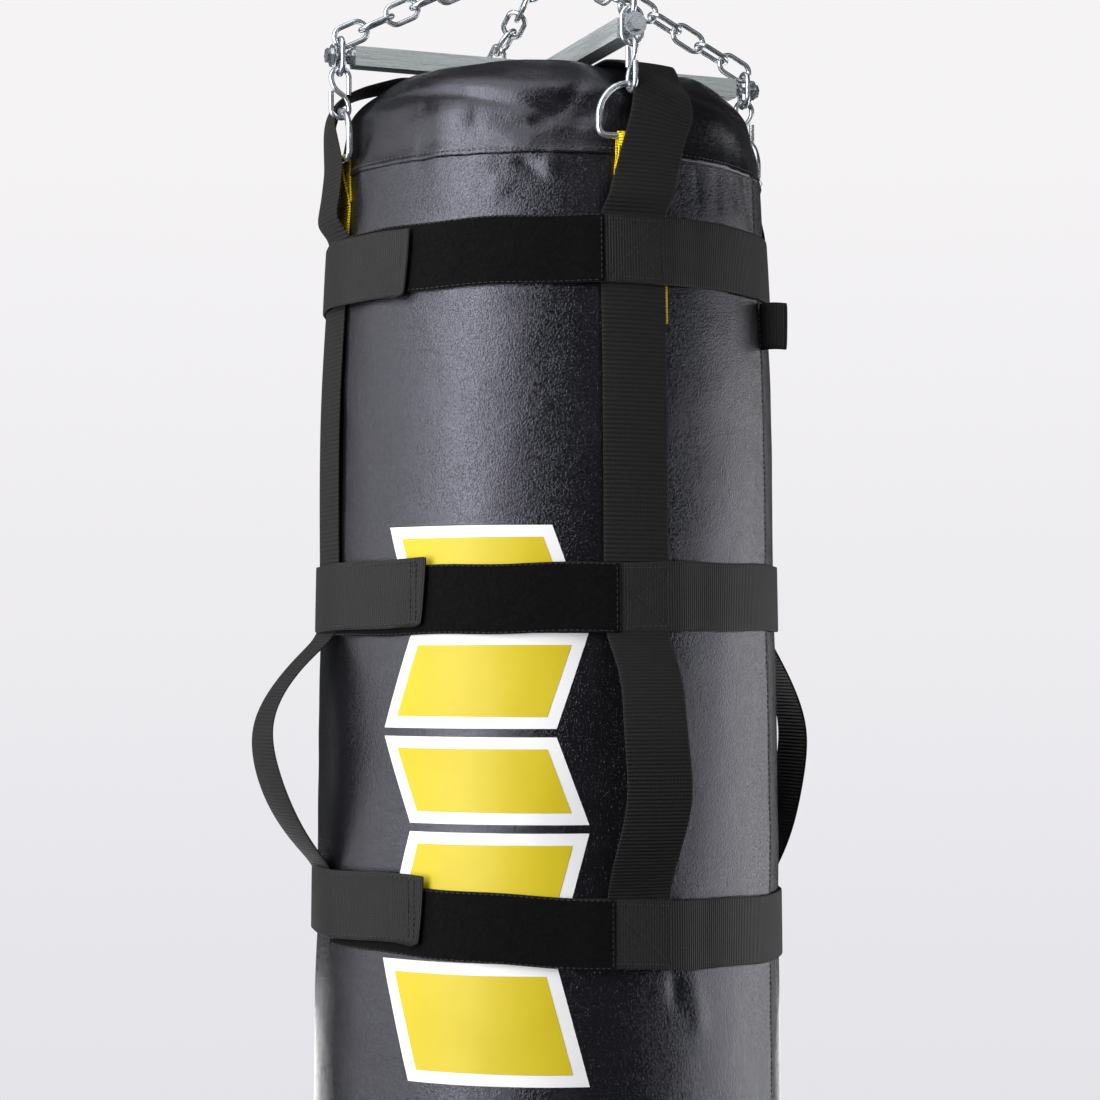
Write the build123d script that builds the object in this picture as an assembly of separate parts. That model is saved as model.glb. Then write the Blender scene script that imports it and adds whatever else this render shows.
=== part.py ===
from build123d import *

import os
from math import cos, radians, sin

# A leather heavy bag with a webbing harness, hanging from a swivel by a quick link, a ring, four
# chains, a cross-shaped spreader, four S-hooks and four D-rings.
#
# Millimetres. +Z is up. The origin is the centre of the bore in the swivel's upper eye.
# Front is -Y, right is +X. An azimuth is counted from the front towards the right.

# ---------------------------------------------------------------- driving dimensions
WEBBING_WIDTH = 50.0
WEBBING_THICK = 1.5
YELLOW_WIDTH = 45.0
YELLOW_LOOP_WIDTH = 36.0     # gathered where it goes round the D-ring's bar
YELLOW_THICK = 1.2
LEATHER_THICK = 1.4
FOAM_THICK = 25.0
BAG_LENGTH = 1200.0
BAG_BOTTOM_RADIUS = 180.0

SPREADER_Z = -215.0          # centre height of the spreader's tubes
ARM_RADIUS = 169.4           # from the axis to the chain link at the end of an arm
TUBE_SIDE = 15.0
TUBE_WALL = 1.3
TUBE_REACH = 159.4

CHAIN_WIRE = 4.0
CHAIN_WIDTH = 19.0
END_LINK_LENGTH = 31.0
LINKS_PER_CHAIN = 8

HOOK_WIRE = 4.0
HOOK_HEIGHT = 42.0
HOOK_WIDTH = 18.0
DEE_WIRE = 5.0
DEE_WIDTH = 56.0
DEE_HEIGHT = 44.0

RING_WIRE = 6.0              # chain ring, quick link and the swivel's lower eye
RING_MEAN_RADIUS = 12.0
LOWER_EYE_MEAN_RADIUS = 10.0
QUICK_LINK_LENGTH = 44.0     # between the wire's centres
QUICK_LINK_HALF_WIDTH = 8.0

UPPER_BORE_RADIUS = 11.0
UPPER_EYE_RADIUS = 19.0
UPPER_EYE_THICK = 8.0
BARREL_RADIUS = 13.0
CHAMBER_RADIUS = 10.0

CONTACT_GAP = 0.25           # left between wires that carry each other
SWAY_GAP = 0.35              # the same between S-hook and D-ring, which move

CROWN_SHIFT = 30.0           # the crown straps pass this far beside the axis
RING_TOPS = {"upper": -138.5, "middle": -389.0, "lower": -629.0}     # below the spreader
FLAP_ENDS = {"upper": -54.0, "middle": -52.0, "lower": -52.0}        # azimuths
PAD_ENDS = {"upper": -7.8, "middle": -4.7, "lower": -6.0}
FLAP_ROOT = -80.0
PAD_ROOT = -81.5

HANDLE_BULGES = {"front": 38.0, "right": 38.0, "back": 45.0, "left": 51.0}
TAB_AZIMUTH = 49.0

# Sides in order, with the turn about Z from the front and the way the crown strap leans there
SIDES = {"front": (0.0, 1), "right": (90.0, 1), "back": (180.0, -1), "left": (270.0, -1)}

# ---------------------------------------------------------------- derived heights
LOWER_EYE_Z = -62.0
EYE_SEAT_Z = LOWER_EYE_Z - LOWER_EYE_MEAN_RADIUS
QUICK_TOP_Z = EYE_SEAT_Z + RING_WIRE + CONTACT_GAP
QUICK_BOTTOM_Z = QUICK_TOP_Z - QUICK_LINK_LENGTH
RING_Z = QUICK_BOTTOM_Z + RING_WIRE + CONTACT_GAP - RING_MEAN_RADIUS
END_LINK_REACH = (END_LINK_LENGTH - CHAIN_WIRE) / 2     # to the wire's centre at its ends
HOOK_TOP_Z = SPREADER_Z - END_LINK_REACH + CHAIN_WIRE + CONTACT_GAP
HOOK_BOTTOM_Z = HOOK_TOP_Z - (HOOK_HEIGHT - HOOK_WIRE)
DEE_TOP_Z = HOOK_BOTTOM_Z + (HOOK_WIRE + DEE_WIRE) / 2 + SWAY_GAP
DEE_BAR_Z = DEE_TOP_Z - (DEE_HEIGHT - DEE_WIRE)

BAG_TOP_Z = SPREADER_Z - 15.2
BAG_BOTTOM_Z = BAG_TOP_Z - BAG_LENGTH
SEAM_Z = SPREADER_Z - 91.0

# The cover's side, from the cap's seam down: height and radius
COVER_SIDE = [
    (SEAM_Z, 165.3),
    (SPREADER_Z - 165.0, 170.0),
    (SPREADER_Z - 261.0, 173.5),
    (SPREADER_Z - 500.0, 177.0),
    (SPREADER_Z - 800.0, 179.4),
    (BAG_BOTTOM_Z, BAG_BOTTOM_RADIUS),
]

# The cap's outline from the middle of its top to the seam: radius and height
CAP_OUTLINE = [
    (0.0, BAG_TOP_Z),
    (100.0, BAG_TOP_Z),
    (118.0, SPREADER_Z - 18.0),
    (138.0, SPREADER_Z - 27.0),
    (149.0, SPREADER_Z - 35.0),
    (155.5, SPREADER_Z - 43.0),
    (158.6, SPREADER_Z - 62.0),
    (162.5, SPREADER_Z - 82.0),
    (165.3, SEAM_Z),
]

# Layers outside the cover, as offsets of their inner and outer faces from it
YELLOW_LAYER = (0.2, 0.2 + YELLOW_THICK)
STRAP_LAYER = (1.9, 1.9 + WEBBING_THICK)
RING_LAYER = (3.7, 3.7 + WEBBING_THICK)
PAD_LAYER = (5.3, 6.9)
HOOK_TAPE_LAYER = (7.3, 8.2)
FLAP_LAYER = (8.3, 8.3 + WEBBING_THICK)

CROWN_RADIUS = 120.0         # crown straps lie inside this radius, side straps outside it

STRAP_END = RING_TOPS["middle"] - 23.0      # a side strap ends under the middle ring
HANDLE_TOP = RING_TOPS["middle"] - WEBBING_WIDTH - 2.0
HANDLE_BOTTOM = RING_TOPS["lower"] + 2.0


# ---------------------------------------------------------------- helpers
def save(name, *solids):
    """Write one node: a single solid, or a group of separate ones."""
    shape = solids[0] if len(solids) == 1 else Compound(children=list(solids))
    export_step(shape, os.path.join("parts", name + ".step"))


def on_side(shape, side):
    """Turn a piece made at the front to another side of the bag."""
    return Rot(0, 0, SIDES[side][0]) * shape


def cover_radius(z):
    """Outer radius of the cover at a height."""
    for (z_up, r_up), (z_low, r_low) in zip(COVER_SIDE, COVER_SIDE[1:]):
        if z_low <= z <= z_up:
            return r_up + (r_low - r_up) * (z_up - z) / (z_up - z_low)
    raise ValueError(f"no cover at {z}")


def revolved(outline):
    """Solid of revolution about Z from a closed outline of (radius, height)."""
    return revolve(make_face(Plane.XZ * Polyline(*outline, close=True)), Axis.Z)


def cover_band(z_low, z_high, layer):
    """Band round the cover between two heights, with its faces offset from the cover."""
    inner, outer = layer
    levels = [z_low] + sorted(z for z, _ in COVER_SIDE if z_low < z < z_high) + [z_high]
    outline = [(cover_radius(z) + inner, z) for z in levels]
    outline += [(cover_radius(z) + outer, z) for z in reversed(levels)]
    return revolved(outline)


def wedge(azimuth_from, azimuth_to):
    """Tall wedge about Z between two azimuths, wider than the bag."""
    far = 400.0
    middle = (azimuth_from + azimuth_to) / 2
    corners = [(0.0, 0.0)]
    corners += [
        (far * sin(radians(a)), -far * cos(radians(a)))
        for a in (azimuth_from, middle, azimuth_to)
    ]
    face = make_face(Pos(0, 0, BAG_BOTTOM_Z) * Polyline(*corners, close=True))
    return extrude(face, BAG_LENGTH, dir=(0, 0, 1))


def front_slab(width, z_low, z_high):
    """Block in front of the axis that cuts a strap of this width out of a band."""
    depth = 300.0
    middle = (z_low + z_high) / 2
    return Pos(0, -depth / 2, middle) * Box(width, depth, z_high - z_low)


def half_ring(mean_radius, wire):
    """Half of a round wire ring in the XZ plane, above its centre."""
    upper_half = (Align.CENTER, Align.MIN, Align.CENTER)
    return Rot(90, 0, 0) * Torus(mean_radius, wire / 2, major_angle=180, align=upper_half)


def link(length, width, wire):
    """Chain link about the origin, its length along Z and its plane XZ."""
    mean_radius = (width - wire) / 2
    straight = length - width
    leg = Cylinder(wire / 2, straight)
    solid = Pos(0, 0, straight / 2) * half_ring(mean_radius, wire)
    solid += Pos(0, 0, -straight / 2) * Rot(0, 180, 0) * half_ring(mean_radius, wire)
    solid += Pos(mean_radius, 0, 0) * leg
    solid += Pos(-mean_radius, 0, 0) * leg
    return solid


def radial_plane(across, outward=0.0):
    """Upright plane at the front whose own X points outwards and whose normal is -X."""
    return Plane(origin=(across, -outward, 0), x_dir=(0, -1, 0), z_dir=(-1, 0, 0))


def bent_wire(path, wire):
    """Round wire along a path of tangent lines and arcs."""
    section = Plane(origin=path @ 0, z_dir=path % 0) * Circle(wire / 2)
    return sweep(section, path=path)


def hexagon(across_flats, height, bore=0.0):
    """Hexagon prism on the XY plane, with a bore if one is given."""
    face = RegularPolygon(across_flats / 2, 6, major_radius=False)
    if bore:
        face -= Circle(bore)
    return extrude(face, height)


def washer(outer, inner, height):
    """Flat washer on the XY plane."""
    return extrude(Circle(outer) - Circle(inner), height)


# ---------------------------------------------------------------- swivel and quick link
def make_swivel():
    """Upper eye and barrel, thrust bearing, and the stem with the lower eye."""
    top_z = -UPPER_EYE_RADIUS + 2.0
    plug_top = top_z - 5.0
    plug_bottom = plug_top - 6.0
    barrel_bottom = -46.0
    floor_top = barrel_bottom + 6.0
    stem_radius = 5.0

    plate = Rot(90, 0, 0) * Cylinder(UPPER_EYE_RADIUS, UPPER_EYE_THICK)
    plate += Pos(0, 0, top_z / 2) * Box(24, UPPER_EYE_THICK, -top_z)
    plate -= Rot(90, 0, 0) * Cylinder(UPPER_BORE_RADIUS, 3 * UPPER_EYE_THICK)
    boss = Pos(0, 0, plug_top) * extrude(Circle(BARREL_RADIUS), top_z - plug_top)
    plug = Pos(0, 0, plug_bottom) * extrude(Circle(CHAMBER_RADIUS - 0.02), plug_top - plug_bottom)
    save("swivel_upper_eye", plate + boss + plug)

    barrel = Pos(0, 0, barrel_bottom) * extrude(Circle(BARREL_RADIUS), plug_top - barrel_bottom)
    barrel = chamfer(barrel.edges().sort_by(Axis.Z)[0], 1.5)
    barrel -= Pos(0, 0, floor_top) * extrude(Circle(CHAMBER_RADIUS), 40)
    barrel -= Pos(0, 0, barrel_bottom - 1) * extrude(Circle(stem_radius + 0.05), 40)
    save("swivel_barrel", barrel)

    race = washer(9.6, stem_radius + 0.4, 2.0)
    ball_radius = 1.6
    ball_circle = 7.5
    ball_z = floor_top + 2.0 + ball_radius + 0.02
    upper_race_z = ball_z + ball_radius + 0.1
    nut_z = upper_race_z + 2.0
    save("bearing_lower_race", Pos(0, 0, floor_top) * race)
    save("bearing_upper_race", Pos(0, 0, upper_race_z) * race)
    balls = [
        Rot(0, 0, 30 * i) * Pos(ball_circle, 0, ball_z) * Sphere(ball_radius) for i in range(12)
    ]
    save("bearing_balls", *balls)
    save("stem_nut", Pos(0, 0, nut_z + 0.05) * hexagon(14, 3.6, stem_radius + 0.02))

    stem_top = plug_bottom - 0.6
    eye_top = LOWER_EYE_Z + LOWER_EYE_MEAN_RADIUS
    stem = Pos(0, 0, eye_top) * extrude(Circle(stem_radius), stem_top - eye_top)
    stem += Pos(0, 0, barrel_bottom - 3.5) * extrude(Circle(7.5), 3.0)
    eye = Pos(0, 0, LOWER_EYE_Z) * Rot(90, 0, 0) * Torus(LOWER_EYE_MEAN_RADIUS, RING_WIRE / 2)
    save("swivel_stem", stem + eye)


def make_quick_link():
    """Oval link that opens at a threaded gap, and the sleeve nut that closes the gap."""
    length = QUICK_LINK_LENGTH + RING_WIRE
    width = 2 * QUICK_LINK_HALF_WIDTH + RING_WIRE
    middle_z = (QUICK_TOP_Z + QUICK_BOTTOM_Z) / 2
    gap = 8.0
    gap_z = middle_z - 5.0
    body = Pos(0, 0, middle_z) * Rot(0, 0, 90) * link(length, width, RING_WIRE)
    body -= Pos(0, QUICK_LINK_HALF_WIDTH, gap_z) * Box(12, 8, gap)
    save("quick_link_body", body)
    nut_length = 13.0
    nut = hexagon(10.5, nut_length, RING_WIRE / 2 + 0.06)
    save("quick_link_nut", Pos(0, QUICK_LINK_HALF_WIDTH, gap_z - nut_length / 2) * nut)


# ---------------------------------------------------------------- chains and spreader
def make_chain(side):
    """One chain: the upright link on its bolt, and the sloping links up to the chain ring.

    The left and right chains pull in the ring's plane. The other two hang side by side on its
    lowest point, and turn a quarter more on the way, so that their last links go round the wire.
    """
    bolt_point = Vector(0, -ARM_RADIUS, SPREADER_Z + END_LINK_REACH)
    if side in ("left", "right"):
        to_centre = Vector(0, 0, RING_Z) - bolt_point
        slope = to_centre.normalized()
        span = to_centre.length - RING_MEAN_RADIUS
        turn = 90.0
    else:
        beside = CHAIN_WIRE / 2 + 0.2
        to_ring = Vector(beside, 0, RING_Z - RING_MEAN_RADIUS + 0.2) - bolt_point
        slope = to_ring.normalized()
        span = to_ring.length
        turn = 90.0 + 90.0 / (LINKS_PER_CHAIN - 1)
    past_bolt_link = CHAIN_WIRE + CONTACT_GAP
    past_ring = (CHAIN_WIRE + RING_WIRE) / 2 + CONTACT_GAP
    step = (span + past_ring) / LINKS_PER_CHAIN
    length = step + 2 * CHAIN_WIRE + CONTACT_GAP
    start = bolt_point - slope * past_bolt_link
    upright = slope.cross(Vector(1, 0, 0)).normalized()
    solids = [Pos(0, -ARM_RADIUS, SPREADER_Z) * link(END_LINK_LENGTH, CHAIN_WIDTH, CHAIN_WIRE)]
    for i in range(LINKS_PER_CHAIN):
        centre = start + slope * (i * step + (length - CHAIN_WIRE) / 2)
        place = Location(Plane(origin=centre, x_dir=upright, z_dir=slope)) * Rot(0, 0, turn * i)
        solids.append(place * link(length, CHAIN_WIDTH, CHAIN_WIRE))
    print(f"chain {side}: links of {length:.2f}")
    save(f"chain_{side}", *[on_side(solid, side) for solid in solids])


def square_tube(length):
    """Square tube along -Y, from the origin outwards."""
    face = Rectangle(TUBE_SIDE, TUBE_SIDE)
    face -= Rectangle(TUBE_SIDE - 2 * TUBE_WALL, TUBE_SIDE - 2 * TUBE_WALL)
    return extrude(Plane.XZ * face, length)


def make_spreader():
    """Cross of square tubes, its welds, and the bolts, nuts and washers in its four ends."""
    at_cross = Pos(0, 0, SPREADER_Z)
    long_tube = Pos(0, TUBE_REACH, 0) * square_tube(2 * TUBE_REACH)
    save("spreader_long_tube", at_cross * Rot(0, 0, 90) * long_tube)
    root = TUBE_SIDE / 2
    half_tube = Pos(0, -root, 0) * square_tube(TUBE_REACH - root)
    save("spreader_half_tubes", *[at_cross * on_side(half_tube, s) for s in ("front", "back")])

    leg = 2.5
    bead = extrude(make_face(Polyline((0, 0), (leg, 0), (0, leg), close=True)), TUBE_SIDE - 1)
    bead = Pos(root, root, SPREADER_Z - (TUBE_SIDE - 1) / 2) * bead
    save("weld_beads", *[Rot(0, 0, 90 * i) * bead for i in range(4)])

    bolt_radius = 3.0
    plug_side = TUBE_SIDE - 2 * TUBE_WALL - 0.1
    plug_depth = 14.0
    inner_washer = TUBE_REACH + 0.1
    lock_nut = inner_washer + 1.3
    outer_washer = ARM_RADIUS + 5.8
    head = outer_washer + 1.5
    shank_start = TUBE_REACH - plug_depth - 3.0

    def outward(shape, distance):
        """Stand a piece made on the XY plane on an arm, its top facing out."""
        return Pos(0, -distance, SPREADER_Z) * Rot(90, 0, 0) * shape

    plug = extrude(Rectangle(plug_side, plug_side) - Circle(bolt_radius + 0.02), plug_depth)
    bolt = extrude(Circle(bolt_radius), head - shank_start)
    bolt += Pos(0, 0, head - shank_start) * hexagon(10, 4.0)
    pieces = {
        "tube_end_plugs": outward(plug, TUBE_REACH - plug_depth),
        "inner_washers": outward(washer(7.0, 3.2, 1.2), inner_washer),
        "lock_nuts": outward(hexagon(10, 2.6, bolt_radius + 0.02), lock_nut),
        "outer_washers": outward(washer(8.6, 3.2, 1.4), outer_washer),
        "arm_bolts": outward(bolt, shank_start),
    }
    for name, piece in pieces.items():
        save(name, *[on_side(piece, side) for side in SIDES])


def make_chain_ring():
    """Round ring that collects the four chains."""
    ring = Rot(90, 0, 0) * Torus(RING_MEAN_RADIUS, RING_WIRE / 2)
    save("chain_ring", Pos(0, 0, RING_Z) * ring)


def make_s_hook(side):
    """S-hook in the plane through the axis: its upper mouth opens inwards, its lower outwards."""
    bend = (HOOK_WIDTH - HOOK_WIRE) / 2
    upper = HOOK_TOP_Z - bend
    lower = HOOK_BOTTOM_Z + bend
    middle = (upper + lower) / 2
    tail = 13.0
    path = Line((-bend, upper - tail), (-bend, upper))
    path += ThreePointArc((-bend, upper), (0, HOOK_TOP_Z), (bend, upper))
    path += TangentArc((bend, upper), (0, middle), tangent=(0, -1))
    path += TangentArc((-bend, lower), (0, middle), tangent=(0, 1))
    path += ThreePointArc((-bend, lower), (0, HOOK_BOTTOM_Z), (bend, lower))
    path += Line((bend, lower), (bend, lower + tail))
    wire = radial_plane(0.0, ARM_RADIUS) * Wire(path.edges())
    save(f"s_hook_{side}", on_side(bent_wire(wire, HOOK_WIRE), side))


def make_dee_rings():
    """D-rings with a straight lower bar and an arched top, each in its tangential plane."""
    half = (DEE_WIDTH - DEE_WIRE) / 2
    corner = 6.0
    arch = DEE_TOP_Z - half
    turn = corner * (1 - cos(radians(45)))
    path = Line((0, DEE_BAR_Z), (half - corner, DEE_BAR_Z))
    path += ThreePointArc(
        (half - corner, DEE_BAR_Z), (half - turn, DEE_BAR_Z + turn), (half, DEE_BAR_Z + corner)
    )
    path += Line((half, DEE_BAR_Z + corner), (half, arch))
    slant = half * cos(radians(45))
    path += ThreePointArc((half, arch), (slant, arch + slant), (0, DEE_TOP_Z))
    wire = Pos(0, -ARM_RADIUS, 0) * (Plane.XZ * Wire(path.edges()))
    right_half = bent_wire(wire, DEE_WIRE)
    ring = right_half + mirror(right_half, Plane.YZ)
    save("dee_rings", *[on_side(ring, side) for side in SIDES])


# ---------------------------------------------------------------- bag
def make_bag():
    """Cap, cover, bottom, and the foam and filling inside."""
    floor = BAG_BOTTOM_Z
    cap_outer = CAP_OUTLINE + [(0.0, SEAM_Z)]
    inset = [(max(r - LEATHER_THICK, 0.0), z - LEATHER_THICK) for r, z in CAP_OUTLINE[:-1]]
    inset += [(CAP_OUTLINE[-1][0] - LEATHER_THICK, SEAM_Z), (0.0, SEAM_Z)]
    stuffing = revolved(inset)
    save("top_cap", revolved(cap_outer) - stuffing)
    save("cap_stuffing", stuffing)

    inside = LEATHER_THICK + FOAM_THICK
    save("cover_shell", cover_band(floor + 2.0, SEAM_Z, (-LEATHER_THICK, 0.0)))
    save("foam_liner", cover_band(floor + 2.0, SEAM_Z, (-inside, -LEATHER_THICK)))
    levels = [floor + 2.0] + sorted(z for z, _ in COVER_SIDE[:-1])
    core = [(0.0, floor + 2.0)] + [(cover_radius(z) - inside, z) for z in levels]
    save("fill_core", revolved(core + [(0.0, SEAM_Z)]))
    save("bottom_panel", Pos(0, 0, floor) * extrude(Circle(BAG_BOTTOM_RADIUS), 2.0))


def make_side_tab():
    """Folded webbing tab that stands out of the vertical seam."""
    top = SPREADER_Z + RING_TOPS["upper"] - WEBBING_WIDTH - 0.7
    height = 35.5
    reach = 20.0
    leaf = 1.4
    slot = 0.4
    outside = cover_radius(top - height) + 0.1
    face = Pos(0, -reach / 2) * Rectangle(2 * leaf + slot, reach)
    face -= Pos(0, -(reach - leaf) / 2) * Rectangle(slot, reach - leaf)
    tab = extrude(face, height)
    save("side_tab", Rot(0, 0, TAB_AZIMUTH) * Pos(0, -outside, top - height) * tab)


def make_yellow_straps():
    """Suspension straps: a loop round each D-ring's bar, and a tail sewn to the cover."""
    joint_z = SPREADER_Z - 118.0
    tail_end = SPREADER_Z - 216.0
    wrap = DEE_WIRE / 2 + 0.2
    joint_y = cover_radius(joint_z) + YELLOW_LAYER[0] + YELLOW_THICK / 2

    def drop(round_radius, point_radius, point_z):
        """Outline round the bar and a small circle at the joint."""
        bar = Pos(ARM_RADIUS, DEE_BAR_Z) * Circle(round_radius)
        point = Pos(joint_y + 0.3, point_z) * Circle(point_radius)
        return make_hull((bar + point).edges())

    face = drop(wrap + YELLOW_THICK, YELLOW_THICK * 0.6, joint_z)
    face -= drop(wrap, 0.1, joint_z + 6.0)
    loop = extrude(radial_plane(YELLOW_LOOP_WIDTH / 2) * face, YELLOW_LOOP_WIDTH)
    tail = cover_band(tail_end, joint_z + 2.0, YELLOW_LAYER)
    tail &= front_slab(YELLOW_WIDTH, tail_end - 1, joint_z + 3)
    save("yellow_straps", *[on_side(loop + tail, side) for side in SIDES])


def side_strap_outline(crown_z):
    """Outline of a side strap: up the cover, out past the D-ring and in over the cap's edge."""
    ring_z = SPREADER_Z + RING_TOPS["upper"]
    end_z = SPREADER_Z + STRAP_END
    inner, outer = STRAP_LAYER
    levels = [end_z] + sorted(z for z, _ in COVER_SIDE if end_z < z < ring_z) + [ring_z]
    thick = WEBBING_THICK
    over = [
        (175.4, SPREADER_Z - 85.0),
        (175.4, SPREADER_Z - 62.0),
        (174.6, SPREADER_Z - 45.0),
        (172.4, SPREADER_Z - 37.5),
        (165.0, SPREADER_Z - 29.5),
        (149.5, SPREADER_Z - 22.0),
    ]
    inside = [(cover_radius(z) + inner, z) for z in levels] + over + [(CROWN_RADIUS, crown_z)]
    outside = [(cover_radius(z) + outer, z) for z in levels]
    outside += [(over[0][0] + thick, over[0][1]), (over[1][0] + thick, over[1][1])]
    outside += [(r + 0.8 * thick, z + 0.8 * thick) for r, z in over[2:]]
    outside += [(CROWN_RADIUS, crown_z + thick)]
    return inside + outside[::-1]


def lean_prism(shift):
    """Front-view outline of a side strap, upright below and leaning sideways above the ring."""
    half = WEBBING_WIDTH / 2
    low = SPREADER_Z + STRAP_END - 1
    ring_z = SPREADER_Z + RING_TOPS["upper"]
    lean_z = SPREADER_Z - 55.0
    high = SPREADER_Z
    outline = [(-half, low), (half, low), (half, ring_z), (half + shift, lean_z)]
    outline += [(half + shift, high), (shift - half, high), (shift - half, lean_z), (-half, ring_z)]
    return extrude(make_face(Plane.XZ * Polyline(*outline, close=True)), 300.0)


def make_harness():
    """Side straps, crown straps, handles and the three ring straps with their closures."""
    crown_z = {1: BAG_TOP_Z + 0.2, -1: BAG_TOP_Z + 0.2 + WEBBING_THICK + 0.2}
    for side, (_, lean) in SIDES.items():
        across = 1 if side in ("front", "back") else -1
        strap = revolved(side_strap_outline(crown_z[across]))
        strap &= lean_prism(lean * CROWN_SHIFT)
        save(f"harness_strap_{side}", on_side(strap, side))

    for name, across, turn in (("front_back", 1, 0.0), ("left_right", -1, 90.0)):
        disc = Pos(0, 0, crown_z[across]) * extrude(Circle(CROWN_RADIUS), WEBBING_THICK)
        slab = Pos(CROWN_SHIFT, 0, BAG_TOP_Z) * Box(WEBBING_WIDTH, 400, 20)
        if across == -1:
            slab = Pos(0, CROWN_SHIFT, BAG_TOP_Z) * Box(400, WEBBING_WIDTH, 20)
        save(f"crown_strap_{name}", disc & slab)

    for side in SIDES:
        make_handle(side)

    for name in RING_TOPS:
        make_ring_strap(name)


def make_handle(side):
    """Slack loop of webbing, sewn under the middle and the lower ring strap."""
    width = WEBBING_WIDTH - 2.0
    bulge = HANDLE_BULGES[side]
    top = SPREADER_Z + HANDLE_TOP
    bottom = SPREADER_Z + HANDLE_BOTTOM
    middle = (top + bottom) / 2
    near_top = cover_radius(top) + STRAP_LAYER[0]
    near_low = cover_radius(bottom) + STRAP_LAYER[0]
    far = cover_radius(middle) + bulge
    thick = WEBBING_THICK
    outer = ThreePointArc((near_top + thick, top), (far, middle), (near_low + thick, bottom))
    inner = ThreePointArc((near_top, top), (far - thick, middle), (near_low, bottom))
    ends = Line(inner @ 0, outer @ 0) + Line(inner @ 1, outer @ 1)
    face = make_face((outer + inner + ends).edges())
    loop = extrude(radial_plane(width / 2) * face, width)

    upper_end = SPREADER_Z + STRAP_END - 0.2
    lower_end = SPREADER_Z + RING_TOPS["lower"] - 40.0
    tabs = cover_band(top - 1.5, upper_end, STRAP_LAYER) & front_slab(width, top - 3, upper_end + 1)
    tabs += cover_band(lower_end, bottom + 1.5, STRAP_LAYER) & front_slab(
        width, lower_end - 1, bottom + 3
    )
    save(f"handle_{side}", on_side(loop + tabs, side))


def make_ring_strap(name):
    """Ring strap, its loop pad, and the flap with the hook tape on its inner face."""
    top = SPREADER_Z + RING_TOPS[name]
    low = top - WEBBING_WIDTH
    flap_end = FLAP_ENDS[name]
    save(f"ring_strap_{name}", cover_band(low, top, RING_LAYER))
    pad = cover_band(low + 0.5, top - 0.5, PAD_LAYER) & wedge(PAD_ROOT, PAD_ENDS[name])
    save(f"loop_pad_{name}", pad)
    tape = cover_band(low + 2.0, top - 2.0, HOOK_TAPE_LAYER) & wedge(FLAP_ROOT + 2, flap_end - 1)
    save(f"hook_tape_{name}", tape)
    flap = cover_band(low, top, FLAP_LAYER) & wedge(FLAP_ROOT, flap_end)
    save(f"flap_{name}", flap)


os.makedirs("parts", exist_ok=True)
make_swivel()
make_quick_link()
make_chain_ring()
make_spreader()
make_bag()
make_side_tab()
make_harness()
make_dee_rings()
make_yellow_straps()
for side_name in SIDES:
    make_chain(side_name)
    make_s_hook(side_name)
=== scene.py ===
import math

import bmesh
import bpy
import numpy as np
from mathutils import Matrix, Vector, noise


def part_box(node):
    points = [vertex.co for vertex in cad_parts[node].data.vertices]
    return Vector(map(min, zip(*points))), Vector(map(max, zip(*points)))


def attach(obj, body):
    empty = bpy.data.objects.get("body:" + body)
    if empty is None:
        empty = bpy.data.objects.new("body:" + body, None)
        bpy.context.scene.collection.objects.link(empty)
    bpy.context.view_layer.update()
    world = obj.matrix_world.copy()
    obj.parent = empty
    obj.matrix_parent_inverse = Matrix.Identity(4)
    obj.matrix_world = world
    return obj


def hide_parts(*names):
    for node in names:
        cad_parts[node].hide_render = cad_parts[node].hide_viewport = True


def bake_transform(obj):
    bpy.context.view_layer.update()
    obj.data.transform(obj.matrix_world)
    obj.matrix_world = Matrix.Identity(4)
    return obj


# A leather heavy bag with a webbing harness, hanging from four chains and a cross-shaped spreader.
# Metres and degrees. The front is -Y, the right is +X, and an azimuth is counted from the front
# towards the right. The metal parts are the frame's own nodes with new materials. The leather, the
# webbing and everything else that is soft is built here, on the frame's sizes.

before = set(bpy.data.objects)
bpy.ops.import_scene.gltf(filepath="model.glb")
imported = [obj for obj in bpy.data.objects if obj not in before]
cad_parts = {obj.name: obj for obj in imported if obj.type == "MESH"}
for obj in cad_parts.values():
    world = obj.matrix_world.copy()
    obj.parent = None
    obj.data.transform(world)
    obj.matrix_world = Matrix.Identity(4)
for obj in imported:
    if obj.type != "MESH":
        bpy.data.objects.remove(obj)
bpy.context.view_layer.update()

# ------------ sizes read from the frame
def z_range(node):
    """Lowest and highest Z of a frame node."""
    low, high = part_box(node)
    return low[2], high[2]


SPREADER_Z = sum(z_range("spreader_long_tube")) / 2
CAP_TOP_Z = z_range("top_cap")[1]
SEAM_Z = z_range("cover_shell")[1]
BAG_BOTTOM_Z = z_range("bottom_panel")[0]
DEE_WIRE = 0.005                 # of the frame's D-rings
BAR_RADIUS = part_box("dee_rings")[1][0] - DEE_WIRE / 2    # of the D-rings' bars, from the axis
RINGS = {name: z_range(f"ring_strap_{name}") for name in ("upper", "middle", "lower")}
SIDES = {"front": 0.0, "right": 90.0, "back": 180.0, "left": 270.0}

# ------------ sizes of the soft parts
WEBBING_WIDTH = 0.050
WEBBING_THICK = 0.0015
HALF_THICK = WEBBING_THICK / 2
PAD_THICK = 0.0014
TAPE_THICK = 0.0009

# Heights of middle surfaces over the cover
YELLOW_LIFT = 0.0008
STRAP_LIFT = 0.00265
RING_LIFT = 0.00445
RING_LIFT_BETWEEN = 0.0016       # where no upright strap lies under a ring strap
PAD_OVER_RING = 0.00165
TAPE_OVER_RING = 0.0033
FLAP_OVER_RING = 0.0046

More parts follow.
